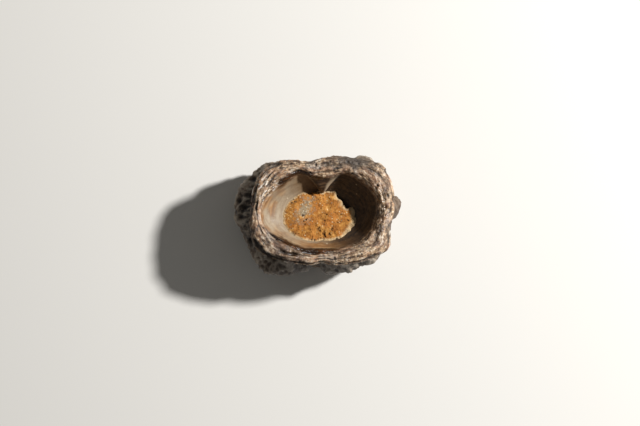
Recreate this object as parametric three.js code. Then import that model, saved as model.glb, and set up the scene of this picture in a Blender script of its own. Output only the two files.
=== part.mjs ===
// Fossil fish vertebra: the spool-shaped centrum of a large bony fish, at life size, with its arches
// and processes broken down to stumps and hardened ochre sediment left in both cups.
// It lies on its rear face with the front cup up. Millimetres. +X is the photograph's right, +Y is
// dorsal (the photograph's top) and +Z is forward along the backbone. The origin is under the middle
// of the bone, at the level that it rests on.
import * as THREE from 'three';

// Driving sizes
const LENGTH = 17.7; // from crown to crown, before the rear crown is worn flat
const SEGMENTS = 96; // steps round the bone
const GAP = 0.3; // between the sediment and the cup that holds it

// The outer edge of each rim and where its middle lies. The bone leans, so its rear face sits further
// left and lower.
const FRONT_RIM = { halfWidth: 12.2, halfHeight: 9.3, square: 2.8, x: 0.8, y: 0.25 };
const REAR_RIM = { halfWidth: 12.7, halfHeight: 9.3, square: 2.7, x: -0.7, y: -0.7 };

// Each cup: its mouth at the inner lip, its depth below the crown of the rim, and how its wall curves.
const FRONT_CUP = { halfWidth: 9.9, halfHeight: 6.6, square: 2.1, x: 0.6, y: 0.1, depth: 8.0, curve: 1.65 };
const REAR_CUP = { halfWidth: 9.3, halfHeight: 6.2, square: 2.1, x: -0.4, y: -0.3, depth: 7.2, curve: 1.6 };
const INNER_DROP = 1.2; // from the crown of a rim down to its inner lip
const OUTER_DROP = 1.5; // from the crown down to the outer edge
const CROWN_WAVE = 0.25; // rise and fall of the crown round the rim
const TERRACE = { depth: 0.2, steps: 3 }; // worn growth layers on the rims
const REST_FLAT = 0.55; // how much of the rear crown is worn off where the bone rests

const WAIST = { depth: 0.29, sharpness: 0.9 }; // how far the middle draws in, as a share of the radius
// Struts that run from rim to rim all round the waist, with hollows between them
const STRUTS = { count: 15, rise: 1.4, narrowness: 2.5, sway: 0.7 };
// Height of the worn surface's unevenness, and the width of its bumps
const ROUGHNESS = { wall: 0.28, rim: 0.18, cup: 0.06, bump: 4.2 };

// Sediment left in each cup: the depth of its surface below the crown, how far its middle swells, and the
// steps round it. In front these match the bone's, so that the lump clears the wedge.
const FRONT_FILL = { below: 4.55, swell: 0.35, segments: SEGMENTS };
const REAR_FILL = { below: 5.0, swell: -0.3, segments: 48 };

// What grows from the wall. `at` and `spread` are degrees round the bone, anticlockwise from the
// photograph's right; `middle` and `reach` are shares of the length from the rear face; `rise` is in
// millimetres.
const STUMPS = [
  { name: 'left side knob', at: 182, spread: 13, rise: 7.2, middle: 0.5, reach: 0.2 },
  { name: 'left shoulder', at: 155, spread: 14, rise: 7.0, middle: 0.45, reach: 0.22 },
  { name: 'right side knob', at: 4, spread: 10.5, rise: 7.0, middle: 0.6, reach: 0.2 },
  { name: 'right shoulder', at: 30, spread: 12, rise: 3.4, middle: 0.6, reach: 0.24 },
  { name: 'left neural arch stump', at: 131, spread: 13, rise: 5.8, middle: 0.5, reach: 0.3 },
  { name: 'right neural arch stump', at: 51, spread: 10, rise: 4.0, middle: 0.6, reach: 0.3 },
  { name: 'dorsal spur', at: 78, spread: 15, rise: 2.8, middle: 0.72, reach: 0.3 },
  { name: 'left ventral process', at: 235, spread: 18, rise: 7.2, middle: 0.42, reach: 0.22 },
  { name: 'left flank strut', at: 209, spread: 15, rise: 5.6, middle: 0.4, reach: 0.24 },
  { name: 'right ventral process', at: 297, spread: 27, rise: 5.7, middle: 0.48, reach: 0.24 },
  { name: 'right ventral corner', at: 277, spread: 5, rise: 1.1, middle: 0.46, reach: 0.24 },
  { name: 'right flank strut', at: 326, spread: 14, rise: 3.3, middle: 0.5, reach: 0.24 },
];
// Pits between the struts, where the wall sinks in
const PITS = [
  { name: 'neural canal floor', at: 106, spread: 8, rise: -1.0, middle: 0.5, reach: 0.28 },
  { name: 'ventral groove', at: 266, spread: 4, rise: -1.2, middle: 0.5, reach: 0.45 },
  { name: 'left upper pit', at: 171, spread: 4, rise: -1.6, middle: 0.68, reach: 0.13 },
  { name: 'left lower pit', at: 194, spread: 5, rise: -0.7, middle: 0.4, reach: 0.17 },
  { name: 'left ventral pit', at: 220, spread: 5, rise: -1.4, middle: 0.62, reach: 0.15 },
  { name: 'right lower pit', at: 344, spread: 9, rise: -1.8, middle: 0.42, reach: 0.2 },
  { name: 'right upper pit', at: 19, spread: 5, rise: -1.8, middle: 0.36, reach: 0.15 },
  { name: 'right ventral pit', at: 309, spread: 5, rise: -1.8, middle: 0.42, reach: 0.17 },
];
// Planes where stumps have broken off or worn flat: the way each faces, and its distance from the axis
const BREAKS = [
  { name: 'left neural arch break', at: 94, away: 9.35 },
  { name: 'right neural arch break', at: 84, away: 10.45 },
  { name: 'upper left wear', at: 131, away: 12.9 },
  { name: 'left knob wear', at: 172, away: 14.75 },
  { name: 'left flank wear', at: 208, away: 13.5 },
  { name: 'left ventral break', at: 267, away: 10.9 },
  { name: 'right ventral break', at: 284, away: 10.9 },
  { name: 'lower right wear', at: 308, away: 12.4 },
  { name: 'right flank wear', at: 342, away: 12.9 },
  { name: 'upper right wear', at: 36, away: 13.7 },
];
const BREAK_SOFTNESS = 0.5; // how far wear has rounded each break

// Where a rim's outer edge swells or is chipped back
const FRONT_EDGE = [
  { name: 'upper right corner', at: 39, spread: 12, rise: 0.85 },
  { name: 'dorsal bulge', at: 74, spread: 11, rise: 0.2 },
  { name: 'dorsal chip', at: 108, spread: 14, rise: -0.8 },
  { name: 'upper left corner', at: 140, spread: 16, rise: 0.4 },
  { name: 'lower left corner', at: 212, spread: 13, rise: 0.6 },
  { name: 'ventral notch', at: 268, spread: 6, rise: -0.4 },
  { name: 'lower right corner', at: 329, spread: 10, rise: 0.75 },
  { name: 'right chip', at: 346, spread: 14, rise: -0.65 },
];
const REAR_EDGE = [
  { name: 'right corner', at: 32, spread: 13, rise: 0.5 },
  { name: 'dorsal dip', at: 95, spread: 14, rise: -0.4 },
  { name: 'left corner', at: 148, spread: 14, rise: 0.4 },
  { name: 'ventral notch', at: 266, spread: 7, rise: -0.1 },
  { name: 'lower right chip', at: 318, spread: 9, rise: -0.5 },
];
// Folds of a cup's wall, as shares of its radius, with the share of the way out where each begins and
// is full, and how much of it reaches the lip
const FRONT_FOLDS = [
  { name: 'left dorsal lobe', at: 119, spread: 16, share: 0.07, from: 0.1, full: 0.6, lip: 0.6 },
  { name: 'right dorsal lobe', at: 58, spread: 18, share: 0.09, from: 0.1, full: 0.6, lip: 0.7 },
  { name: 'ventral ridge', at: 269, spread: 12, share: -0.06, from: 0.3, full: 0.6, lip: 0.3 },
];
const REAR_FOLDS = [
  { name: 'dorsal ridge', at: 92, spread: 14, share: -0.1, from: 0.3, full: 0.8, lip: 0.5 },
  { name: 'ventral ridge', at: 268, spread: 12, share: -0.08, from: 0.3, full: 0.7, lip: 0.4 },
];
// The wedge of bone that comes down into the front cup from its dorsal lip, between two lobes. Its face
// widens from a point, part of the way out, to `width` degrees each side of its middle at the lip.
const WEDGE = { at: 91, width: 23, tip: 0.5, share: -0.25, lip: 0.5 };

// Shared forms

const DEGREE = Math.PI / 180;
const mix = THREE.MathUtils.lerp;
const smooth = THREE.MathUtils.smoothstep;

// Radius of a squared ellipse at an angle
const oval = ({ halfWidth, halfHeight, square }, angle) =>
  (Math.abs(Math.cos(angle) / halfWidth) ** square + Math.abs(Math.sin(angle) / halfHeight) ** square) **
  (-1 / square);

// 1 at `at` degrees round the bone, fading to 0 over `spread` degrees to each side
function hump(angle, { at, spread }) {
  const away = THREE.MathUtils.euclideanModulo(angle / DEGREE - at + 180, 360) - 180;
  return spread > 0 ? Math.exp(-((away / spread) ** 2)) : 0;
}

// A smooth unevenness between about -1 and 1, in bumps `size` across
function uneven(x, y, z, size) {
  const k = (2 * Math.PI) / size;
  return (
    (Math.sin(k * (0.83 * x + 0.41 * y - 0.37 * z) + 0.6) +
      Math.sin(k * (-0.52 * x + 0.74 * y + 0.43 * z) + 2.3) +
      Math.sin(k * (0.29 * x - 0.47 * y + 0.84 * z) + 4.1) +
      Math.sin(k * (-1.3 * x - 0.9 * y + 1.1 * z) + 5.2)) /
    4
  );
}

// The lesser of two lengths, rounded off over `soft` where they cross
const softMin = (a, b, soft) => (a + b - Math.sqrt((a - b) ** 2 + soft ** 2)) / 2;

// The bone's outlines

// Outer edge of a rim, with its corners and chips
const edgeRadius = (rim, bumps) => (angle) =>
  bumps.reduce((r, bump) => r + bump.rise * hump(angle, bump), oval(rim, angle));
const frontEdge = edgeRadius(FRONT_RIM, FRONT_EDGE);
const rearEdge = edgeRadius(REAR_RIM, REAR_EDGE);

// Radius of the side wall; `along` runs from 0 at the rear rim to 1 at the front rim
function wallRadius(angle, along) {
  const drawn = 1 - WAIST.depth * Math.sin(Math.PI * along) ** WAIST.sharpness;
  const plain = mix(rearEdge(angle), frontEdge(angle), along) * drawn;
  const rimFade = Math.sin(Math.PI * along) ** 0.4;
  const strutPhase = (STRUTS.count * angle) / 2 + STRUTS.sway * Math.sin(3 * angle + 2 * along);
  const strut = STRUTS.rise * Math.abs(Math.cos(strutPhase)) ** STRUTS.narrowness;
  const grown = [...STUMPS, ...PITS].reduce((r, part) => {
    const nearness = Math.exp(-(((along - part.middle) / part.reach) ** 2));
    return r + part.rise * nearness * rimFade * hump(angle, part);
  }, plain + strut * rimFade);
  return BREAKS.reduce((r, plane) => {
    const facing = Math.cos(angle - plane.at * DEGREE);
    return facing > 0.3 ? softMin(r, plane.away / facing, BREAK_SOFTNESS) : r;
  }, grown);
}

// How far the wedge stands in from the front cup's wall, as a share of its radius
function wedgeShare(angle, share) {
  const width = (WEDGE.width * Math.max(0, share - WEDGE.tip)) / (1 - WEDGE.tip);
  const away = Math.abs(THREE.MathUtils.euclideanModulo(angle / DEGREE - WEDGE.at + 180, 360) - 180);
  const inside = 1 - smooth(away, 0.6 * width, 1.3 * width + 3);
  const grown = smooth(share, WEDGE.tip - 0.1, WEDGE.tip + 0.25);
  return WEDGE.share * inside * grown * mix(1, WEDGE.lip, smooth(share, 0.8, 1));
}

// Radius of a cup's wall; `share` runs from 0 at the floor to 1 at the inner lip
function cupRadius(cup, folds, angle, share) {
  const folded = folds.reduce((f, fold) => {
    const strength = smooth(share, fold.from, fold.full) * mix(1, fold.lip, smooth(share, fold.full, 1));
    return f + fold.share * strength * hump(angle, { at: fold.at, spread: fold.spread * share ** 1.5 });
  }, cup === FRONT_CUP ? wedgeShare(angle, share) : 0);
  return oval(cup, angle) * share * (1 + folded);
}

// Height of a cup's wall above its floor; `share` runs from 0 at the floor to 1 at the inner lip
const cupHeight = (cup, share) => (cup.depth - INNER_DROP) * share ** cup.curve;

// Rings. Each is a function of the angle that gives a point. Together they run from the floor of the
// front cup over the front rim, down the wall, over the rear rim and up into the rear cup.
// `face` is 1 for the front end of the bone and -1 for the rear.
const FRONT = { face: 1, rim: FRONT_RIM, edge: frontEdge, cup: FRONT_CUP, folds: FRONT_FOLDS };
const REAR = { face: -1, rim: REAR_RIM, edge: rearEdge, cup: REAR_CUP, folds: REAR_FOLDS };

// Height of an end's crown at an angle, measured from the middle of the bone outwards
const crownHeight = (end, angle) =>
  LENGTH / 2 + CROWN_WAVE * Math.sin(2 * angle + 0.8) * Math.cos(3 * angle - end.face) - CROWN_WAVE;

const polar = (centre, radius, angle, height) =>
  new THREE.Vector3(centre.x + radius * Math.cos(angle), centre.y + radius * Math.sin(angle), height);

function cupRing(end, share) {
  return (angle) => {
    const radius = cupRadius(end.cup, end.folds, angle, share);
    const height = crownHeight(end, angle) * share + (LENGTH / 2 - CROWN_WAVE) * (1 - share);
    const point = polar(end.cup, radius, angle, height - end.cup.depth + cupHeight(end.cup, share));
    point.z += ROUGHNESS.cup * uneven(point.x, point.y, 0, ROUGHNESS.bump) * share;
    point.z = LENGTH / 2 + end.face * point.z;
    return point;
  };
}

// `across` runs from 0 at the inner lip to 1 at the outer edge
function lipRing(end, across) {
  return (angle) => {
    const inner = polar(end.cup, cupRadius(end.cup, end.folds, angle, 1), angle, 0);
    const outer = polar(end.rim, end.edge(angle), angle, 0);
    const point = inner.lerp(outer, (1 - Math.cos(Math.PI * across)) / 2);
    const drop = mix(INNER_DROP, OUTER_DROP, across) * (1 - Math.sin(Math.PI * across));
    const layer = TERRACE.steps * across + 0.3 * Math.sin(2 * angle);
    const layers = TERRACE.depth * Math.sin(2 * Math.PI * layer);
    const worn = ROUGHNESS.rim * uneven(point.x, point.y, 0, ROUGHNESS.bump * 0.6);
    const fade = Math.sin(Math.PI * across);
    point.z = LENGTH / 2 + end.face * (crownHeight(end, angle) - drop + (layers + worn) * fade);
    return point;
  };
}

function wallRing(along) {
  return (angle) => {
    const rearZ = LENGTH / 2 - crownHeight(REAR, angle) + OUTER_DROP;
    const frontZ = LENGTH / 2 + crownHeight(FRONT, angle) - OUTER_DROP;
    const centre = { x: mix(REAR_RIM.x, FRONT_RIM.x, along), y: mix(REAR_RIM.y, FRONT_RIM.y, along) };
    const point = polar(centre, wallRadius(angle, along), angle, mix(rearZ, frontZ, along));
    const bump = uneven(point.x, point.y, point.z, ROUGHNESS.bump);
    const worn = ROUGHNESS.wall * bump * Math.sin(Math.PI * along);
    point.x += worn * Math.cos(angle);
    point.y += worn * Math.sin(angle);
    return point;
  };
}

// count + 1 steps from 0 to 1, without the first where a ring before already holds it
const steps = (count, from = 0) => Array.from({ length: count + 1 - from }, (_, i) => (i + from) / count);

// A closed solid through rings that start and end at a point on the axis. A lathe gives the faces, and
// each ring then gives its vertices their places.
function solidThrough(rings, segments) {
  const isPole = (row) => row === 0 || row === rings.length - 1;
  const profile = rings.map((_, row) => new THREE.Vector2(isPole(row) ? 0 : 1, row));
  const geometry = new THREE.LatheGeometry(profile, segments);
  const place = geometry.getAttribute('position');
  for (let step = 0; step <= segments; step++) {
    const angle = ((step % segments) / segments) * 2 * Math.PI;
    rings.forEach((ring, row) => place.setXYZ(step * rings.length + row, ...ring(angle).toArray()));
  }
  geometry.computeVertexNormals();
  return geometry;
}

// The pieces

function centrum() {
  const rings = [
    ...steps(12).map((share) => cupRing(FRONT, share)),
    ...steps(8, 1).map((across) => lipRing(FRONT, across)),
    ...steps(14, 1).map((down) => wallRing(1 - down)),
    ...steps(6, 1).map((back) => lipRing(REAR, 1 - back)),
    ...steps(6, 1).map((up) => cupRing(REAR, 1 - up)),
  ].map((ring) => (angle) => {
    const point = ring(angle);
    point.z = Math.max(point.z, REST_FLAT);
    return point;
  });
  const bone = new THREE.MeshStandardMaterial({ color: 0xa58f78, roughness: 0.7, metalness: 0 });
  const mesh = new THREE.Mesh(solidThrough(rings.reverse(), SEGMENTS), bone);
  mesh.name = 'centrum';
  return mesh;
}

// The lump of sediment in one cup: its underside follows the cup's wall, a gap away, and its face is
// near level.
function fillOf(end, fill, name) {
  const level = end.cup.depth - fill.below;
  const edgeShare = ((level - GAP) / (end.cup.depth - INNER_DROP)) ** (1 / end.cup.curve);
  const under = (share) => (angle) => {
    const point = cupRing(end, share * edgeShare)(angle);
    point.x -= GAP * share * Math.cos(angle);
    point.y -= GAP * share * Math.sin(angle);
    point.z += end.face * GAP;
    return point;
  };
  const over = (inward) => (angle) => {
    const edge = under(1)(angle);
    const out = 1 - inward;
    const point = edge.clone().lerp(under(0)(angle), inward);
    const lumps = 0.12 * uneven(point.x, point.y, 0, 3);
    const levelZ = LENGTH / 2 + end.face * (LENGTH / 2 - fill.below + fill.swell * (1 - out ** 2) + lumps);
    point.z = mix(levelZ, edge.z, out ** 6);
    return point;
  };
  const rings = [
    ...steps(6).map((share) => under(share)),
    ...steps(7, 1).map((inward) => over(inward)),
  ];
  const upward = end.face > 0 ? rings : rings.reverse();
  const sediment = new THREE.MeshStandardMaterial({ color: 0xb98034, roughness: 0.95, metalness: 0 });
  const mesh = new THREE.Mesh(solidThrough(upward, fill.segments), sediment);
  mesh.name = name;
  return mesh;
}

const vertebra = new THREE.Group();
vertebra.add(centrum());
vertebra.add(fillOf(FRONT, FRONT_FILL, 'front_sediment'));
vertebra.add(fillOf(REAR, REAR_FILL, 'rear_sediment'));

// Sets the origin under the middle of the bone, at the level that it rests on
const box = new THREE.Box3().setFromObject(vertebra);
const middle = box.getCenter(new THREE.Vector3());
vertebra.children.forEach((piece) => piece.position.set(-middle.x, -middle.y, -box.min.z));

export default vertebra;
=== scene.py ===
"""A fossil fish vertebra with ochre sediment in its cups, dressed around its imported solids.

Objects and lights are in metres. Patterns and reliefs are worked out in millimetres."""

import math

import bmesh
import bpy
import numpy as np
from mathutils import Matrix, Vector, bvhtree, noise


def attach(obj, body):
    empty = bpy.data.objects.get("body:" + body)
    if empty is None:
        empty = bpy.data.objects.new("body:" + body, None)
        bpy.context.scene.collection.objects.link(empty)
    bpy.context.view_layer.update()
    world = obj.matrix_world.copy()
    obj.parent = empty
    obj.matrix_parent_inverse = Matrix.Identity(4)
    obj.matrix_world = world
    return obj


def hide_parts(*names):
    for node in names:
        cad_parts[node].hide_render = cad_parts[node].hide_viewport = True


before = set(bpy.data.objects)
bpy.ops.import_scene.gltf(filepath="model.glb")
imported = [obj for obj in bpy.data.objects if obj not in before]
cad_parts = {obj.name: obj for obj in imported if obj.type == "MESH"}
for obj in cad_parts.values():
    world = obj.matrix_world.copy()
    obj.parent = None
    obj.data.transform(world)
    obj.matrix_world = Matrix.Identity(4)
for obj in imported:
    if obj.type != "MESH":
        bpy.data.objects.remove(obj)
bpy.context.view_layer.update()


# The camera
# It hangs straight above the table, as on a copy stand, and looks down into the front cup.
# The bone covers 168 of the picture's 640 pixels, as in the photograph.
CAMERA_HEIGHT = 0.400  # above the table
CAMERA_OVER = (0.00039, 0.00052)  # the point that it hangs over
CAMERA_NEAR = 0.01
PIXELS_PER_METRE = 5640  # at the level of the table
IMAGE_PIXELS = 640
SENSOR_MM = 36

field = IMAGE_PIXELS / PIXELS_PER_METRE
camera = bpy.data.objects.new("copy_stand_camera", bpy.data.cameras.new("copy_stand_camera"))
camera.data.sensor_width = SENSOR_MM
camera.data.lens = SENSOR_MM * CAMERA_HEIGHT / field
camera.data.clip_start = CAMERA_NEAR
camera.location = (*CAMERA_OVER, CAMERA_HEIGHT)
bpy.context.scene.collection.objects.link(camera)
bpy.context.scene.camera = camera


# The centrum
# The spool of bone: two cupped ends with worn, layered rims, a wall of struts and pits between them, and
# the stumps of the arches and ribs. It grew as one piece, ring by ring, and broke down in the ground.
MM = 0.001
MERGE = 1e-7
ANY_ANGLE = 3.1  # radians, so wide that the two triangles of every quad join
BONE_LEVELS = 2  # subdivisions, which bring the points to about 0.23 mm apart
BONE_SEED = 11.0
# Rings of points, counted from the floor of the front cup over both rims to the floor of the rear cup, and
# how many millimetres along the surface each of these lies from the front lip
FRONT_LIP, FRONT_EDGE, REAR_EDGE, REAR_LIP, REAR_FLOOR = 12, 20, 34, 40, 46
RING_MARKS = (0, FRONT_LIP, FRONT_EDGE, REAR_EDGE, REAR_LIP, REAR_FLOOR)
PROFILE_MARKS = (-11.5, 0.0, 3.6, 18.5, 22.1, 32.0)
FLOW_ALONG = 0.28  # how far patterns are drawn out along the rims
FLOW_ACROSS = 1.7  # how far they are pressed together across them


def number_rings(form):
    """Counts the rings of points out from the upper pole, in a layer that subdivision carries along."""
    ring = form.verts.layers.float.new("ring")
    most = max(len(point.link_edges) for point in form.verts)
    poles = [point for point in form.verts if len(point.link_edges) == most]
    pole = max(poles, key=lambda point: point.co.z)
    front, seen, count = [pole], {pole}, 0
    while front:
        for point in front:
            point[ring] = count
        beside = [edge.other_vert(point) for point in front for edge in point.link_edges]
        front = [point for point in dict.fromkeys(beside) if point not in seen]
        seen.update(front)
        count += 1


def refined_copy(node, name, levels):
    """A solid's shape as a new piece: merged, turned to quads and smoothly subdivided."""
    form = bmesh.new()
    form.from_mesh(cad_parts[node].data)
    bmesh.ops.remove_doubles(form, verts=form.verts, dist=MERGE)
    number_rings(form)
    bmesh.ops.join_triangles(form, faces=form.faces, angle_face_threshold=ANY_ANGLE,
                             angle_shape_threshold=ANY_ANGLE)
    mesh = bpy.data.meshes.new(name)
    form.to_mesh(mesh)
    form.free()
    piece = bpy.data.objects.new(name, mesh)
    bpy.context.scene.collection.objects.link(piece)
    finer = piece.modifiers.new("finer", "SUBSURF")
    finer.levels = finer.render_levels = levels
    bpy.context.view_layer.update()
    subdivided = piece.evaluated_get(bpy.context.evaluated_depsgraph_get())
    finished = bpy.data.meshes.new_from_object(subdivided)
    piece.modifiers.clear()
    piece.data = finished
    finished.shade_smooth()
    return piece


def read_points(mesh):
    """Places in millimetres, and outward directions, of a mesh's points."""
    places, directions = np.empty(len(mesh.vertices) * 3), np.empty(len(mesh.vertices) * 3)
    mesh.vertices.foreach_get("co", places)
    mesh.vertices.foreach_get("normal", directions)
    return places.reshape(-1, 3) / MM, directions.reshape(-1, 3)


def read_ring(mesh):
    """The ring of each point, with parts of a ring for the points between."""
    values = np.empty(len(mesh.vertices), np.float32)
    mesh.attributes["ring"].data.foreach_get("value", values)
    return values


def write_points(mesh, places):
    """Moves a mesh's points to places in millimetres."""
    mesh.vertices.foreach_set("co", (places * MM).ravel())
    mesh.update()


def write_values(mesh, name, values):
    """Keeps one number or one direction for each point, for the finish to read."""
    kind, key = ("FLOAT_VECTOR", "vector") if values.ndim == 2 else ("FLOAT", "value")
    mesh.attributes.new(name, kind, "POINT").data.foreach_set(key, values.ravel())


def lumps(points, size, seed):
    """Smooth noise between about -1 and 1, in lumps of a size in the points' own units."""
    shift = Vector((seed, 1.7 * seed, -seed))
    return np.array([noise.noise(Vector(point) / size + shift) for point in points])


def cells(points, size, seed):
    """How far each point is from the middle of the cell that holds it, as a share of the size."""
    shift = Vector((seed, -seed, 2.3 * seed))
    return np.array([noise.voronoi(Vector(point) / size + shift)[0][0] for point in points])


def ease(values, low, high):
    """0 below low, 1 above high, and smooth between."""
    t = np.clip((values - low) / (high - low), 0, 1)
    return t * t * (3 - 2 * t)


def band(values, start, full, fade, end):
    """1 from full to fade, and 0 outside start and end."""
    return ease(values, start, full) * (1 - ease(values, fade, end))


def near(angle, at, spread):
    """1 at an angle round the bone, fading over the spread to each side."""
    return np.exp(-((((angle - at + 180) % 360) - 180) / spread) ** 2)


centrum = refined_copy("centrum", "bone", BONE_LEVELS)
place, out = read_points(centrum.data)
ring = read_ring(centrum.data)
angle = np.degrees(np.arctan2(place[:, 1], place[:, 0]))
profile = np.interp(ring, RING_MARKS, PROFILE_MARKS)
flow = np.column_stack((place[:, :2] * FLOW_ALONG, profile * FLOW_ACROSS))

# The parts of the surface, by ring. A place round the bone is given by its angle from the photograph's
# right and by how far it spreads, in degrees.
LEFT_FLANK, KNOB = (192, 34), (4, 11)
LEFT_OVERHANG = 1.6  # how many rings further down the wall begins, on the left
front_rim = band(ring, 11.2, 13, 19.5, 21)
rear_rim = band(ring, 33, 34.5, 39, 40.8)
rim = np.maximum(front_rim, rear_rim)
left_flank = near(angle, *LEFT_FLANK)
flank = band(ring - LEFT_OVERHANG * left_flank, 19.5, 21.5, 32.5, 34.5)
wall = flank * (1 - 0.75 * near(angle, *KNOB))
cup = 1 - band(ring, 11.2, 12.6, 39.6, 40.8)

# Layers of growth stand as worn steps round the rims, with seams and grooves along them. They are deepest
# on the left and the lower left.
LOWER_LEFT, UPPER_LEFT = (215, 45), (150, 22)
STEP_WIDTH, STEP_HEIGHT = 0.85, 0.20
SEAM_HEIGHT, GROOVE_DEPTH = 0.12, 0.42
layered = 0.35 + 0.65 * np.maximum(near(angle, *LOWER_LEFT), near(angle, *UPPER_LEFT))
step = (profile / STEP_WIDTH + 0.9 * lumps(place, 5.0, BONE_SEED)) % 1
height = rim * layered * STEP_HEIGHT * (step - 0.5)
seams = 1 - 2 * np.abs(lumps(flow, 0.8, BONE_SEED + 1))
height += rim * SEAM_HEIGHT * (seams - 0.5)
groove = ease(lumps(flow, 1.1, BONE_SEED + 2), 0.16, 0.40)
height -= rim * layered * GROOVE_DEPTH * groove

# The front rim spreads outwards on the left, edge and lip, and its lip leans inwards on the right.
LEFT_LIP, RIGHT_LIP = (183, 22), (-9, 22)
LEFT_SPREAD, LEFT_LIP_SPREAD, RIGHT_LEAN = 0.6, 0.8, 0.75
place[:, 0] -= LEFT_SPREAD * band(ring, 15.5, 18.5, 20.5, 23.5) * left_flank
place[:, 0] -= LEFT_LIP_SPREAD * band(ring, 8.5, 11.5, 14.0, 17.0) * near(angle, *LEFT_LIP)
place[:, 0] -= RIGHT_LEAN * band(ring, 9.0, 11.8, 14.5, 18.5) * near(angle, *RIGHT_LIP)

# Chips in the outer edges. The right half of the belly side is sounder than the rest, here and in its wall.
SOUND_PART = (292, 28)
CHIP_WIDTH, CHIP_DEPTH = 1.6, 0.40
fragile = 1 - 0.8 * near(angle, *SOUND_PART)
edges = np.maximum(band(ring, 17.6, 19.4, 21, 23.5), band(ring, 31, 33, 35, 36.5))
height -= edges * fragile * CHIP_DEPTH * ease(lumps(place, CHIP_WIDTH, BONE_SEED + 3), 0.0, 0.5)

# The wall's fibres run along the backbone, between long pits where vessels went in.
FIBRE_WIDTH, FIBRE_HEIGHT, FIBRE_DRAWN = 0.85, 0.27, (1, 1, 0.16)
BUMP_WIDTH, BUMP_HEIGHT, BUMP_DRAWN = 2.2, 0.16, (1, 1, 0.5)
PIT_SPACING, PIT_DEPTH, PIT_DRAWN = 1.5, 0.60, (1, 1, 0.30)
height += wall * FIBRE_HEIGHT * (1 - 2 * np.abs(lumps(place * FIBRE_DRAWN, FIBRE_WIDTH, BONE_SEED + 4)))
height += wall * BUMP_HEIGHT * lumps(place * BUMP_DRAWN, BUMP_WIDTH, BONE_SEED + 5)
pitted = ease(lumps(place, 4.2, BONE_SEED + 6), -0.05, 0.25)
pit_cells = cells(place * PIT_DRAWN, PIT_SPACING, BONE_SEED + 7)
pits = wall * fragile * pitted * (1 - ease(pit_cells, 0.12, 0.46))
height -= PIT_DEPTH * pits

# Where the arches and ribs broke off, outside an oval round the rims, the spongy inside of the bone shows.
RIM_HALF_WIDTH, RIM_HALF_DEPTH = 14.2, 10.4
SPONGE_SPACING, SPONGE_DEPTH = 0.85, 0.22
stand_out = np.hypot(place[:, 0] / RIM_HALF_WIDTH, place[:, 1] / RIM_HALF_DEPTH)
spongy = flank * ease(stand_out, 0.93, 1.0)
sponge = 1 - ease(cells(place, SPONGE_SPACING, BONE_SEED + 8), 0.15, 0.5)
height -= SPONGE_DEPTH * fragile * spongy * sponge

# The cups are smooth but for faint rings, one for each season of growth.
SEASON_WIDTH, SEASON_HEIGHT, SWELL_HEIGHT = 0.52, 0.022, 0.05
season = np.sin(2 * math.pi * (profile / SEASON_WIDTH + 0.35 * lumps(place, 4.0, BONE_SEED + 9)))
height += cup * (SEASON_HEIGHT * season + SWELL_HEIGHT * lumps(place, 1.7, BONE_SEED + 10))

# The wedge that comes down into the front cup stands out with a raised edge to each side. The edge on the
# right catches the light: its pale colour is drawn wider and stronger there as a painted highlight.
WEDGE_AT, WEDGE_WIDTH = 91, 23
WEDGE_TIP = 6.0  # the ring where it begins
WEDGE_EDGE_WIDTH = 3.0  # in degrees, as the wedge's own width is
WEDGE_HEIGHT = 0.10
floor_point = place[ring.argmin()]
cup_angle = np.degrees(np.arctan2(place[:, 1] - floor_point[1], place[:, 0] - floor_point[0]))
wedge_width = WEDGE_WIDTH * (ring - WEDGE_TIP) / (FRONT_LIP - WEDGE_TIP)
beside_wedge = np.abs(cup_angle - WEDGE_AT) - wedge_width + 2.0 * lumps(place, 0.9, BONE_SEED + 19)
lit_side = ease(WEDGE_AT - cup_angle, -4, 4)
in_cup = band(ring, 5.6, 6.6, 10.6, 12.2)
wedge = band(ring, 6.2, 7.4, 12.0, 13.0) * (1 - ease(beside_wedge, -2.5, -0.5))
# On the side towards the lamp the pale edge is wider and stronger: a painted highlight.
edge_reach = WEDGE_EDGE_WIDTH * (0.7 + 2.0 * lit_side)
edge_away = np.abs(beside_wedge + 2.5 * lit_side) / edge_reach
wedge_edge_and_highlight = in_cup * (1 - ease(edge_away, 0.4, 1.0)) * (0.5 + 0.5 * lit_side)
height += WEDGE_HEIGHT * wedge_edge_and_highlight
height += WEDGE_HEIGHT * wedge * lumps(flow, 0.7, BONE_SEED + 20)

# Pores, and the grain of worn bone
PORE_SPACING, PORE_DEPTH = 0.95, 0.24
GRAIN_WIDTH, GRAIN_HEIGHT = 0.60, 0.09
COARSE_WIDTH, COARSE_HEIGHT = 1.1, 0.08
pores = (rim + 0.5 * wall) * (1 - ease(cells(place, PORE_SPACING, BONE_SEED + 11), 0.13, 0.30))
pores *= ease(lumps(place, 2.0, BONE_SEED + 12), -0.15, 0.2)
height -= PORE_DEPTH * pores
worn_grain = GRAIN_HEIGHT * lumps(place, GRAIN_WIDTH, BONE_SEED + 13)
height += (1 - cup) * (worn_grain + COARSE_HEIGHT * lumps(place, COARSE_WIDTH, BONE_SEED + 16))

place += out * height[:, None]
place[:, 2] = np.maximum(place[:, 2], 0)  # it rests on the worn crown of its rear rim

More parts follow.
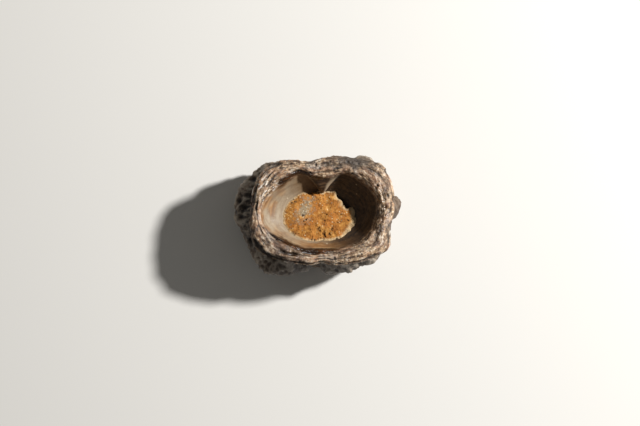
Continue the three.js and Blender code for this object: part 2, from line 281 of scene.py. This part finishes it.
# Brown patina on the lips of the cups, where iron in the ground stained and polished the bone, and the rusty
# band at its foot. It is widest along the belly side.
BELLY, BACK, LEFT_STAIN, LEFT_RUST = (266, 40), (113, 26), (217, 20), (176, 38)
ragged = ring + 0.8 * lumps(flow, 1.4, BONE_SEED + 14) + 0.4 * lumps(place, 0.6, BONE_SEED + 15)
belly, back = near(angle, *BELLY), near(angle, *BACK)
stained = np.maximum(np.maximum(belly, back), 0.7 * near(angle, *LEFT_STAIN))
front_patina = band(ragged - 1.3 * back - 1.1 * belly, 10.5, 11.2, 13.2, 14.0)
patina = np.maximum(front_patina, band(ragged, 39, 40.2, 41.5, 43))
patina *= ease(lumps(flow, 1.6, BONE_SEED + 17) + 1.4 * stained, 0.45, 0.85)
belly_rust = 0.9 * belly * band(ragged, 9.4, 10.4, 11.2, 12.0)
rusty_left = 0.85 * near(angle, *LEFT_RUST) * ease(lumps(place, 1.5, BONE_SEED + 22), -0.35, 0.25)
rusty = np.maximum(belly_rust, rusty_left * band(ragged, 9.0, 10.6, 12.0, 13.0))

# The outer edge on the upper right and the wall just below it are weathered grey.
GREY_PART = (57, 17)
greyed = band(ragged, 14.5, 16.5, 24, 26) * near(angle, *GREY_PART)

# Earth has darkened the lower left of the rim and the knob on the right. The wall on the belly side is
# darkened most of all, as painted shade where it faces away from the lamp.
EARTHY_RIM, EARTHY_KNOB, BELLY_SHADE = (226, 24), (4, 14), (260, 50)
earth_and_belly_shade = 0.55 * front_rim * near(angle, *EARTHY_RIM) + 0.62 * flank * near(angle, *EARTHY_KNOB)
# Painted shade: the belly side's wall, which faces away from the lamp, is darkened.
earth_and_belly_shade += 0.9 * flank * near(angle, *BELLY_SHADE)

# White scratches on the upper left of the rim
SCRATCHED_PART = (152, 12)
SCRATCH_DRAWN = (1, 1, 1.6)
scratched = 1 - ease(np.abs(lumps(flow * SCRATCH_DRAWN, 0.55, BONE_SEED + 18)), 0.02, 0.07)
scratches = front_rim * near(angle, *SCRATCHED_PART) * scratched

# Polished places, which catch the light: on the right of the crown and on its lower left
POLISHED_RIGHT, POLISHED_LEFT = (8, 24), (243, 16)
GLINT_WIDTH, GLINT_HEIGHT = 0.85, 0.34
polished = band(ragged, 12.2, 12.8, 16.2, 17.4) * near(angle, *POLISHED_RIGHT)
polished = np.maximum(polished, band(ragged, 13.4, 14, 16.5, 17.5) * near(angle, *POLISHED_LEFT))
place += out * (GLINT_HEIGHT * polished * lumps(place, GLINT_WIDTH, BONE_SEED + 21))[:, None]
write_points(centrum.data, place)

DEEP = 0.3  # a hollow of this depth is darkened fully
marks = {
    "hollow": np.clip(height / DEEP, -1, 1),
    "pit": np.clip(pits + pores, 0, 1),
    "cup": cup,
    "wall": wall,
    "spongy": spongy,
    "patina": patina,
    "rusty": rusty,
    "greyed": greyed,
    "earth_and_belly_shade": earth_and_belly_shade,
    "wedge": wedge,
    "wedge_edge_and_highlight": wedge_edge_and_highlight,
    "scratches": scratches,
    "polished": polished,
}
write_values(centrum.data, "flow", flow)
for name, values in marks.items():
    write_values(centrum.data, name, values)


def linear(code):
    """An sRGB hex colour in the linear values that a shader takes."""
    parts = [int(code[i : i + 2], 16) / 255 for i in (1, 3, 5)]
    return [p / 12.92 if p <= 0.04045 else ((p + 0.055) / 1.055) ** 2.4 for p in parts] + [1.0]


def add(tree, kind, sockets=None, stops=(), **settings):
    """Adds a shader node with its settings and its ramp's stops. Each of its sockets is given a value, a hex
    colour, or a link from a socket or from a node's first output."""
    node = tree.nodes.new("ShaderNode" + kind)
    for name, value in settings.items():
        setattr(node, name, value)
    for key, value in (sockets or {}).items():
        source = value.outputs[0] if isinstance(value, bpy.types.Node) else value
        if isinstance(source, bpy.types.NodeSocket):
            tree.links.new(source, node.inputs[key])
        else:
            node.inputs[key].default_value = linear(value) if isinstance(value, str) else value
    for position, colour in stops:
        element = node.color_ramp.elements.new(position)
        element.color = linear(colour) if isinstance(colour, str) else (colour, colour, colour, 1)
    if stops:
        node.color_ramp.elements.remove(node.color_ramp.elements[0])
        node.color_ramp.elements.remove(node.color_ramp.elements[-1])
    return node


def new_finish(name):
    """A material with an empty tree, and its shader, which is joined to the output."""
    finish = bpy.data.materials.new(name)
    finish.use_nodes = True
    tree = finish.node_tree
    tree.nodes.clear()
    surface = add(tree, "BsdfPrincipled")
    add(tree, "OutputMaterial", {"Surface": surface})
    return finish, tree, surface


def bone_patterns(tree):
    """The patterns that more than one part of the bone shares. The seams follow the rims, and the fibres the
    backbone."""
    spot = add(tree, "TexCoord").outputs["Object"]
    rimwise = add(tree, "Attribute", attribute_name="flow").outputs["Vector"]
    lengthwise = add(tree, "Mapping", {"Vector": spot, "Scale": FIBRE_DRAWN})
    return {
        "spot": spot,
        "rimwise": rimwise,
        "grains": add(tree, "TexNoise", {"Vector": spot, "Scale": 1 / (0.6 * MM), "Detail": 5.0,
                                         "Roughness": 0.66}),
        "patches": add(tree, "TexNoise", {"Vector": spot, "Scale": 1 / (2.1 * MM), "Detail": 4.0}),
        "clouds": add(tree, "TexNoise", {"Vector": spot, "Scale": 1 / (2.8 * MM), "Detail": 5.0}),
        "earth": add(tree, "TexNoise", {"Vector": spot, "Scale": 1 / (0.8 * MM), "Detail": 6.0,
                                        "Roughness": 0.7}),
        "seams": add(tree, "TexNoise", {"Vector": rimwise, "Scale": 2.1, "Detail": 6.0, "Roughness": 0.66}),
        "fibres": add(tree, "TexNoise", {"Vector": lengthwise, "Scale": 1 / (0.45 * MM), "Detail": 5.0,
                                         "Roughness": 0.62}),
    }


def grained_rims(tree, patterns):
    """Grains of cream, beige and brown 0.6 mm wide, in patches 2 to 3 mm wide of pink, grey or brown."""
    grained = add(tree, "ValToRGB", {"Fac": patterns["grains"]},
                  stops=[(0.34, "#4d3624"), (0.44, "#8e6f52"), (0.52, "#b39472"), (0.60, "#d0b594"),
                         (0.70, "#efe2cf")])
    pink_share = add(tree, "ValToRGB", {"Fac": patterns["patches"]}, stops=[(0.47, 0.0), (0.60, 0.40)])
    pink = add(tree, "MixRGB", {"Fac": pink_share, "Color1": grained, "Color2": "#a67658"})
    grey_patches = add(tree, "TexNoise", {"Vector": patterns["spot"], "Scale": 1 / (2.7 * MM), "Detail": 5.0,
                                          "Distortion": 0.6})
    grey_share = add(tree, "ValToRGB", {"Fac": grey_patches}, stops=[(0.54, 0.0), (0.64, 0.6)])
    grey = add(tree, "MixRGB", {"Fac": grey_share, "Color1": pink, "Color2": "#8f8a84"})
    brown_share = add(tree, "ValToRGB", {"Fac": patterns["clouds"]}, stops=[(0.36, 0.55), (0.50, 0.0)])
    return add(tree, "MixRGB", {"Fac": brown_share, "Color1": grey, "Color2": "#59422f"})


def seamed_rims(tree, patterns, grained):
    """Over the grains, dark seams and pale strands 0.3 mm wide along the rim, and pores in swarms."""
    seam_share = add(tree, "ValToRGB", {"Fac": patterns["seams"]},
                     stops=[(0.36, 0.92), (0.45, 0.55), (0.50, 0.0)])
    seamed = add(tree, "MixRGB", {"Fac": seam_share, "Color1": grained, "Color2": "#2b1b10"})
    strand_share = add(tree, "ValToRGB", {"Fac": patterns["seams"]}, stops=[(0.57, 0.0), (0.66, 0.75)])
    stranded = add(tree, "MixRGB", {"Fac": strand_share, "Color1": seamed, "Color2": "#e6d8c4"})
    pore = add(tree, "TexVoronoi", {"Vector": patterns["spot"], "Scale": 1 / (0.55 * MM)})
    pore_reach = add(tree, "MapRange", {"Value": patterns["patches"], "From Min": 0.58, "From Max": 0.42,
                                        "To Min": 0.06, "To Max": 0.30})
    in_pore = add(tree, "Math", {0: pore, 1: pore_reach}, operation="LESS_THAN")
    pore_share = add(tree, "Math", {0: in_pore, 1: 0.8}, operation="MULTIPLY")
    return add(tree, "MixRGB", {"Fac": pore_share, "Color1": stranded, "Color2": "#21150c"})


def fibrous_wall(tree, patterns):
    """The side wall: grey-brown, with dark fibres and pale struts 0.45 mm wide along the backbone."""
    earthy = add(tree, "ValToRGB", {"Fac": patterns["earth"]},
                 stops=[(0.34, "#261d15"), (0.46, "#4f4337"), (0.57, "#736453"), (0.68, "#a39582")])
    fibre_share = add(tree, "ValToRGB", {"Fac": patterns["fibres"]}, stops=[(0.38, 0.8), (0.50, 0.0)])
    fibred = add(tree, "MixRGB", {"Fac": fibre_share, "Color1": earthy, "Color2": "#241a12"})
    strut_share = add(tree, "ValToRGB", {"Fac": patterns["fibres"]}, stops=[(0.57, 0.0), (0.68, 0.55)])
    return add(tree, "MixRGB", {"Fac": strut_share, "Color1": fibred, "Color2": "#b3a48e"})


def outside_bone(tree, patterns, at):
    """Rims and wall together, with the grey weathered part, the spongy stumps, the earth, and the painted
    shade on the belly side.
    """
    rims = seamed_rims(tree, patterns, grained_rims(tree, patterns))
    grey_share = add(tree, "Math", {0: at["greyed"], 1: 0.95}, operation="MULTIPLY")
    weathered = add(tree, "MixRGB", {"Fac": grey_share, "Color1": rims, "Color2": "#41382f"})
    walled = add(tree, "MixRGB", {"Fac": at["wall"], "Color1": weathered,
                                  "Color2": fibrous_wall(tree, patterns)})
    spongy_share = add(tree, "Math", {0: at["spongy"], 1: 0.6}, operation="MULTIPLY")
    stumps = add(tree, "MixRGB", {"Fac": spongy_share, "Color1": walled, "Color2": "#6d563e"})
    # Earth, and on the belly side painted shade
    return add(tree, "MixRGB", {"Fac": at["earth_and_belly_shade"], "Color1": stumps, "Color2": "#33241a"})


def cup_wall(tree, patterns):
    """The cup's wall: pale cream on the left and darker and darker to chocolate on the upper right, partly
    brown stain and partly painted shade where the wall turns away from the lamp, with season lines, brown
    mottling and a few pale flecks."""
    # The darkening runs along the lamp's direction: partly brown stain, partly painted shade of the far wall
    # of the cup.
    turned = add(tree, "Mapping", {"Vector": patterns["spot"], "Rotation": (0, 0, math.radians(-24))})
    sideways = add(tree, "SeparateXYZ", {"Vector": turned})
    shift = add(tree, "Math", {0: patterns["clouds"], 1: 5 * MM, 2: -2.5 * MM}, operation="MULTIPLY_ADD")
    stain_and_shade_place = add(tree, "Math", {0: sideways, 1: shift}, operation="ADD")
    stain_and_shade_depth = add(tree, "MapRange", {"Value": stain_and_shade_place, "From Min": -9 * MM, "From Max": 9 * MM})
    stained = add(tree, "ValToRGB", {"Fac": stain_and_shade_depth},
                  stops=[(0.05, "#97866e"), (0.35, "#8f7e67"), (0.48, "#7c664c"), (0.60, "#3d2918"),
                         (0.72, "#160c07")])
    lines = add(tree, "TexNoise", {"Vector": patterns["rimwise"], "Scale": 1.3, "Detail": 5.0})
    line_share = add(tree, "ValToRGB", {"Fac": lines}, stops=[(0.40, 0.30), (0.56, 0.0)])
    lined = add(tree, "MixRGB", {"Fac": line_share, "Color1": stained, "Color2": "#5d4429"})
    mottle_share = add(tree, "ValToRGB", {"Fac": patterns["earth"]}, stops=[(0.38, 0.30), (0.50, 0.0)])
    mottled = add(tree, "MixRGB", {"Fac": mottle_share, "Color1": lined, "Color2": "#6a5238"})
    fleck = add(tree, "TexVoronoi", {"Vector": patterns["spot"], "Scale": 1 / (1.9 * MM)})
    fleck_share = add(tree, "ValToRGB", {"Fac": fleck}, stops=[(0.07, 0.75), (0.11, 0.0)])
    return add(tree, "MixRGB", {"Fac": fleck_share, "Color1": mottled, "Color2": "#b9a88f"})


def inside_bone(tree, patterns, at):
    """The cup's wall with its wedge, which is dark brown with pale bared edges; on the right edge the pale is
    widened into a painted highlight.
    """
    wedge_brown = add(tree, "ValToRGB", {"Fac": patterns["seams"]},
                      stops=[(0.40, "#1a0e06"), (0.52, "#33200f"), (0.60, "#5a4029"), (0.68, "#806748")])
    wedged = add(tree, "MixRGB", {"Fac": at["wedge"], "Color1": cup_wall(tree, patterns),
                                  "Color2": wedge_brown})
    # Pale edges: bared bone, and on the right a painted highlight
    edge_share = add(tree, "Math", {0: at["wedge_edge_and_highlight"], 1: 0.8}, operation="MULTIPLY")
    return add(tree, "MixRGB", {"Fac": edge_share, "Color1": wedged, "Color2": "#ab967a"})


def stained_lips(tree, patterns, at, bone):
    """Over the bone, the lips' dark brown stain and the rust at its foot, and darker polished places."""
    rust = add(tree, "TexNoise", {"Vector": patterns["rimwise"], "Scale": 1.4, "Detail": 6.0,
                                  "Roughness": 0.6})
    rust_brown = add(tree, "ValToRGB", {"Fac": rust},
                     stops=[(0.38, "#6b4420"), (0.52, "#8f6230"), (0.66, "#ad8a60")])
    rusted = add(tree, "MixRGB", {"Fac": at["rusty"], "Color1": bone, "Color2": rust_brown})
    stain_brown = add(tree, "ValToRGB", {"Fac": rust},
                      stops=[(0.40, "#170c06"), (0.52, "#2e1a0d"), (0.61, "#56331a"), (0.70, "#8d6b4c")])
    stained = add(tree, "MixRGB", {"Fac": at["patina"], "Color1": rusted, "Color2": stain_brown})
    polish_share = add(tree, "Math", {0: at["polished"], 1: 0.12}, operation="MULTIPLY")
    return add(tree, "MixRGB", {"Fac": polish_share, "Color1": stained, "Color2": "#2b221b"})


def worn_with_dark_hollows(tree, at, bone):
    """Over the bone, darker colour in every hollow and pit, wear that bares pale bone on every ridge, but
    less where earth or the painted shade of the belly side lies, and white scratches."""
    hollow_dark_share = add(tree, "MapRange", {"Value": at["hollow"], "From Min": -0.1, "From Max": -0.8,
                                        "To Max": 0.85})
    hollow_darkened = add(tree, "MixRGB", {"Fac": hollow_dark_share, "Color1": bone, "Color2": "#1f140c"})
    # Less pale wear shows where earth or the painted shade of the belly side darkens the bone
    bared_most = add(tree, "MapRange", {"Value": at["earth_and_belly_shade"], "To Min": 0.45, "To Max": 0.10})
    bared_share = add(tree, "MapRange", {"Value": at["hollow"], "From Min": 0.2, "From Max": 0.8,
                                         "To Max": bared_most})
    bared = add(tree, "MixRGB", {"Fac": bared_share, "Color1": hollow_darkened, "Color2": "#d3c5b2"})
    pit_share = add(tree, "Math", {0: at["pit"], 1: 0.85}, operation="MULTIPLY")
    pitted = add(tree, "MixRGB", {"Fac": pit_share, "Color1": bared, "Color2": "#180f09"})
    return add(tree, "MixRGB", {"Fac": at["scratches"], "Color1": pitted, "Color2": "#f4ece0"})


def mineral_stained_bone():
    """Fossil bone, its pores filled with mineral in the ground and its surface worn there. To the eye it is
    matt, layered and porous, beige to cream, with polished brown lips."""
    finish, tree, surface = new_finish("mineral_stained_fossil_bone")
    at = {name: add(tree, "Attribute", attribute_name=name).outputs["Fac"] for name in marks}
    patterns = bone_patterns(tree)
    bone = add(tree, "MixRGB", {"Fac": at["cup"], "Color1": outside_bone(tree, patterns, at),
                                "Color2": inside_bone(tree, patterns, at)})
    colour = worn_with_dark_hollows(tree, at, stained_lips(tree, patterns, at, bone))
    tree.links.new(colour.outputs["Color"], surface.inputs["Base Color"])

    # Matt bone, polished stain and a few polished places on the crown
    matt = add(tree, "MapRange", {"Value": patterns["grains"], "From Min": 0.35, "From Max": 0.65,
                                  "To Min": 0.78, "To Max": 0.5})
    shine_share = add(tree, "Math", {0: at["patina"], 1: at["polished"]}, operation="MAXIMUM")
    roughness = add(tree, "MixRGB", {"Fac": shine_share, "Color1": matt, "Color2": (0.17, 0.17, 0.17, 1)})
    tree.links.new(roughness.outputs["Color"], surface.inputs["Roughness"])
    surface.inputs["IOR"].default_value = 1.55

    # Grain finer than the mesh holds, about 0.3 mm across, which is weak in the smooth cup
    fine = add(tree, "TexNoise", {"Vector": patterns["spot"], "Scale": 1 / (0.28 * MM), "Detail": 4.0})
    strands = add(tree, "MixRGB", {"Fac": at["wall"], "Color1": patterns["seams"],
                                   "Color2": patterns["fibres"]})
    both = add(tree, "Math", {0: fine, 1: strands}, operation="ADD")
    grain_share = add(tree, "MapRange", {"Value": at["cup"], "To Min": 1.0, "To Max": 0.2})
    relief = add(tree, "Math", {0: both, 1: grain_share}, operation="MULTIPLY")
    grain = add(tree, "Bump", {"Height": relief, "Strength": 0.9, "Distance": 0.16 * MM})
    tree.links.new(grain.outputs["Normal"], surface.inputs["Normal"])
    return finish


centrum.data.materials.clear()
centrum.data.materials.append(mineral_stained_bone())
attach(centrum, "root")
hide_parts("centrum")


# The sediment
# Hardened ochre sand and silt that washed into both cups before the bone was buried. It was never taken
# out, and it holds to the cup's wall, with a pale crust round its edge.
SEDIMENT_LEVELS = 2
SEDIMENT_SEED = 37.0
REAR_SEED = 57.0
SWELL = 0.5  # how far a lump reaches out to sink a little into the cup's wall
BRIM_SINK = 0.3  # how far its edge goes on sideways into the wall
FACE_RINGS, EDGE_RING = 13, 6  # counted from under the lump
# How far the open face lies above its solid at the middle of the bone, what that gains for each millimetre
# to the right and towards the back, and how it curls up at the belly side
FRONT_TILT = (-0.12, -0.10, -0.318, 0.032)
LEVEL = (0.0, 0.0, 0.0, 0.0)
# Places broken out of the face: across, towards the back, how far they reach and how deep they are. The
# deep ones are on the upper right and have a crusted edge.
FRONT_BITES = ((5.4, 4.6, 2.5, 2.6), (5.3, 2.5, 1.25, 2.6), (-1.1, 4.7, 1.1, 0.7))
CRUSTED_DEPTH = 1.0
BITE_EDGE = 0.35
GRIT = ((1.5, 0.16), (0.7, 0.13), (0.38, 0.10))  # the width and height of each size of lump
PITTED_AT = (2.4, -3.4)  # where small pits crowd together, near the belly side
HOLE_SPACING, HOLE_DEPTH = 0.62, 0.28
CRUST_WIDTH = 0.32
WIDE_CRUST = (-14, 34)  # on the right, where the crust is widest


def way_to_wall(point, way, bone):
    """How far it is from a point to the cup's wall. A point that is in the bone already has no way to go."""
    start = Vector(point) * MM
    nearest, facing, _, _ = bone.find_nearest(start)
    if (start - nearest).dot(facing) < 0:
        return 0.0
    distance = bone.ray_cast(start, Vector((*way, 0)))[3]
    return (distance or 0.0) / MM + BRIM_SINK


def draw_to_wall(spot, open_face, bone):
    """Draws the lump's edge out into the cup's wall, and the face with it. Returns each point's angle."""
    outward = spot[:, :2] - spot[:, :2].mean(axis=0)
    outward /= np.hypot(*outward.T).clip(0.01)[:, None]
    around = np.arctan2(outward[:, 1], outward[:, 0])
    edge = np.flatnonzero(np.abs(open_face - EDGE_RING) < 0.1)
    edge = edge[np.argsort(around[edge])]
    ways = [way_to_wall(spot[i], outward[i], bone) for i in edge]
    on_face = ((FACE_RINGS - open_face) / (FACE_RINGS - EDGE_RING)).clip(0, 1) ** 1.5
    drawn = np.where(open_face < EDGE_RING, ease(open_face, 0, EDGE_RING - 1), on_face)
    spot[:, :2] += outward * (drawn * np.interp(around, around[edge], ways, period=2 * math.pi))[:, None]
    return np.degrees(around)


def pit_the_face(spot, seed):
    """Small pits in swarms, one of them near the belly side."""
    from_swarm = np.hypot(spot[:, 0] - PITTED_AT[0], spot[:, 1] - PITTED_AT[1])
    swarms = np.maximum(ease(lumps(spot, 1.8, seed + 4), 0.0, 0.35), 1 - ease(from_swarm, 1.0, 1.8))
    return swarms * (1 - ease(cells(spot, HOLE_SPACING, seed + 5), 0.15, 0.36))


def break_out(spot, bites, raised, seed):
    """Sinks the broken-out places. Returns which points are in one, and which are at a deep one's edge."""
    broken, cliff = np.zeros(len(spot)), np.zeros(len(spot))
    for across, back, reach, depth in bites:
        bitten = np.hypot(spot[:, 0] - across, spot[:, 1] - back) + 0.35 * lumps(spot, 1.0, seed + 6)
        sunk = 1 - ease(bitten, reach - BITE_EDGE, reach)
        spot[:, 2] -= raised * depth * sunk
        broken = np.maximum(broken, sunk)
        if depth > CRUSTED_DEPTH:
            cliff = np.maximum(cliff, 1 - ease(np.abs(bitten - reach), 0.0, 0.45))
    return broken, cliff


def packed_sediment(node, name, seed, tilt, bites, faces_up):
    """A lump of sediment, swollen to meet the wall of its cup, with a gritty, pitted face."""
    piece = refined_copy(node, name, SEDIMENT_LEVELS)
    spot, away = read_points(piece.data)
    row = read_ring(piece.data)
    open_face = row.max() - row if faces_up else row
    share = ease(open_face, EDGE_RING - 1.5, EDGE_RING)
    raised = share if faces_up else -share
    spot += away * (SWELL * (1 - share))[:, None]
    spot[:, 2] += raised * (tilt[0] + tilt[1] * spot[:, 0] + tilt[2] * spot[:, 1] + tilt[3] * spot[:, 1] ** 2)
    bone = bvhtree.BVHTree.FromObject(centrum, bpy.context.evaluated_depsgraph_get())
    around = draw_to_wall(spot, open_face, bone)

    grit = sum(high * lumps(spot, wide, seed + i) for i, (wide, high) in enumerate(GRIT))
    holes = pit_the_face(spot, seed)
    broken, cliff = break_out(spot, bites, raised, seed)
    spot[:, 2] += raised * (grit - HOLE_DEPTH * holes)
    write_points(piece.data, spot)

    clear = np.array([bone.find_nearest(Vector(point) * MM)[3] / MM for point in spot])
    crust_width = CRUST_WIDTH * (1 + 1.6 * near(around, *WIDE_CRUST))
    rim_crust = 1 - ease((clear + 0.12 * lumps(spot, 0.7, seed + 3)) / crust_width, 0.4, 1.0)
    write_values(piece.data, "crust", np.maximum(rim_crust * (1 - broken), cliff))
    write_values(piece.data, "hollow", np.clip((grit - 0.3 * holes) / 0.2, -1, 1))
    write_values(piece.data, "pit", np.clip(holes, 0, 1))
    return piece


def lime_patch(tree, spot, silt):
    """Where lime has whitened the face: a long ragged patch on the upper left, which leans to the right."""
    centred = add(tree, "Mapping", {"Vector": spot, "Location": (-2.2 * MM, 1.2 * MM, 0),
                                    "Rotation": (0, 0, math.radians(-26)), "Scale": (1.8 * MM, 3.2 * MM, 1)},
                  vector_type="TEXTURE")
    away = add(tree, "VectorMath", {0: centred}, operation="LENGTH")
    ragged_away = add(tree, "Math", {0: silt, 1: 3.2, 2: away.outputs["Value"]}, operation="MULTIPLY_ADD")
    return add(tree, "MapRange", {"Value": ragged_away, "From Min": 2.45, "From Max": 1.85, "To Max": 0.75})


def ochre_sediment():
    """Iron-stained silt and sand, set hard underground. To the eye it is dull, gritty and orange-ochre, with
    a grey-white patch of lime and a pale crust."""
    finish, tree, surface = new_finish("hardened_ochre_sediment")
    spot = add(tree, "TexCoord").outputs["Object"]
    hollow_at = add(tree, "Attribute", attribute_name="hollow").outputs["Fac"]
    crust_at = add(tree, "Attribute", attribute_name="crust").outputs["Fac"]
    pit_at = add(tree, "Attribute", attribute_name="pit").outputs["Fac"]

    # Silt in lumps 0.9 mm wide, with rustier patches, and grains of sand 0.4 mm wide in it
    silt = add(tree, "TexNoise", {"Vector": spot, "Scale": 1 / (0.9 * MM), "Detail": 7.0, "Roughness": 0.72})
    silty = add(tree, "ValToRGB", {"Fac": silt},
                stops=[(0.34, "#6b4119"), (0.45, "#93602a"), (0.55, "#ab7635"), (0.66, "#c99a5e")])
    rust = add(tree, "TexNoise", {"Vector": spot, "Scale": 1 / (2.2 * MM), "Detail": 4.0})
    rust_share = add(tree, "ValToRGB", {"Fac": rust}, stops=[(0.46, 0.0), (0.62, 0.6)])
    rusted = add(tree, "MixRGB", {"Fac": rust_share, "Color1": silty, "Color2": "#a5652a"})
    sand = add(tree, "TexVoronoi", {"Vector": spot, "Scale": 1 / (0.42 * MM)})
    sand_share = add(tree, "ValToRGB", {"Fac": sand}, stops=[(0.16, 0.7), (0.34, 0.0)])
    sand_tone = add(tree, "SeparateColor", {"Color": sand.outputs["Color"]})
    sand_tones = add(tree, "ValToRGB", {"Fac": sand_tone},
                     stops=[(0.30, "#3d2410"), (0.45, "#7d5226"), (0.70, "#8b7a5e"), (0.90, "#d8c39b")])
    sandy = add(tree, "MixRGB", {"Fac": sand_share, "Color1": rusted, "Color2": sand_tones})

    # Grey lime with white grains, the pale crust, and darker colour in the hollows and pits
    lime_share = lime_patch(tree, spot, silt)
    limed = add(tree, "MixRGB", {"Fac": lime_share, "Color1": sandy, "Color2": "#8f8670"})
    crystal_share = add(tree, "Math", {0: lime_share, 1: sand_share}, operation="MULTIPLY")
    crystalled = add(tree, "MixRGB", {"Fac": crystal_share, "Color1": limed, "Color2": "#ece0c4"})
    crust_share = add(tree, "Math", {0: crust_at, 1: 0.7}, operation="MULTIPLY")
    crusted = add(tree, "MixRGB", {"Fac": crust_share, "Color1": crystalled, "Color2": "#c9b48e"})
    grit_hollow_dark_share = add(tree, "MapRange", {"Value": hollow_at, "From Min": -0.2, "From Max": -1.0,
                                         "To Max": 0.55})
    earthy = add(tree, "MixRGB", {"Fac": grit_hollow_dark_share, "Color1": crusted, "Color2": "#53330f"})
    pitted = add(tree, "MixRGB", {"Fac": pit_at, "Color1": earthy, "Color2": "#26160a"})
    tree.links.new(pitted.outputs["Color"], surface.inputs["Base Color"])
    surface.inputs["Roughness"].default_value = 0.95
    surface.inputs["Specular IOR Level"].default_value = 0.25
    fine_sand = add(tree, "TexNoise", {"Vector": spot, "Scale": 1 / (0.22 * MM), "Detail": 3.0})
    grain = add(tree, "Bump", {"Height": fine_sand, "Strength": 1.0, "Distance": 0.18 * MM})
    tree.links.new(grain.outputs["Normal"], surface.inputs["Normal"])
    return finish


ochre = ochre_sediment()
front_fill = packed_sediment("front_sediment", "front_fill", SEDIMENT_SEED, FRONT_TILT, FRONT_BITES, True)
rear_fill = packed_sediment("rear_sediment", "rear_fill", REAR_SEED, LEVEL, (), False)
for fill, node in ((front_fill, "front_sediment"), (rear_fill, "rear_sediment")):
    fill.data.materials.clear()
    fill.data.materials.append(ochre)
    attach(fill, "root")
    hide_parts(node)


# The floor and the light
# A plain pale table, one lamp low on the upper right, which throws the far wall of the cup into shade, and
# a weak even light from all round.
FLOOR_HALF = 0.6
LAMP_ANGLE = math.radians(22)  # round from the photograph's right
LAMP_RISE = math.radians(42.5)  # above the table
LAMP_AWAY = 0.45
LAMP_SIZE = 0.035
LAMP_POWER = 3.3
SKY_STRENGTH = 0.17

floor_form = bmesh.new()
bmesh.ops.create_grid(floor_form, x_segments=1, y_segments=1, size=FLOOR_HALF)
floor_mesh = bpy.data.meshes.new("pale_table")
floor_form.to_mesh(floor_mesh)
floor_form.free()
floor = bpy.data.objects.new("pale_table", floor_mesh)
bpy.context.scene.collection.objects.link(floor)
table_finish, _, table_surface = new_finish("matt_pale_board")  # painted board, plain and without gloss
table_surface.inputs["Base Color"].default_value = linear("#d9d6d0")
table_surface.inputs["Roughness"].default_value = 0.9
floor.data.materials.append(table_finish)

lamp = bpy.data.objects.new("key_lamp", bpy.data.lights.new("key_lamp", "AREA"))
lamp.data.shape = "DISK"
lamp.data.size = LAMP_SIZE
lamp.data.energy = LAMP_POWER
level_way = Vector((math.cos(LAMP_ANGLE), math.sin(LAMP_ANGLE), 0))
toward = level_way * math.cos(LAMP_RISE) + Vector((0, 0, math.sin(LAMP_RISE)))
lamp.location = toward * LAMP_AWAY
lamp.rotation_euler = toward.to_track_quat("Z", "Y").to_euler()
bpy.context.scene.collection.objects.link(lamp)

sky = bpy.data.worlds.new("even_light")
sky.use_nodes = True
sky.node_tree.nodes["Background"].inputs["Color"].default_value = linear("#f4f3f0")
sky.node_tree.nodes["Background"].inputs["Strength"].default_value = SKY_STRENGTH
bpy.context.scene.world = sky
bpy.context.scene.view_settings.view_transform = "Standard"
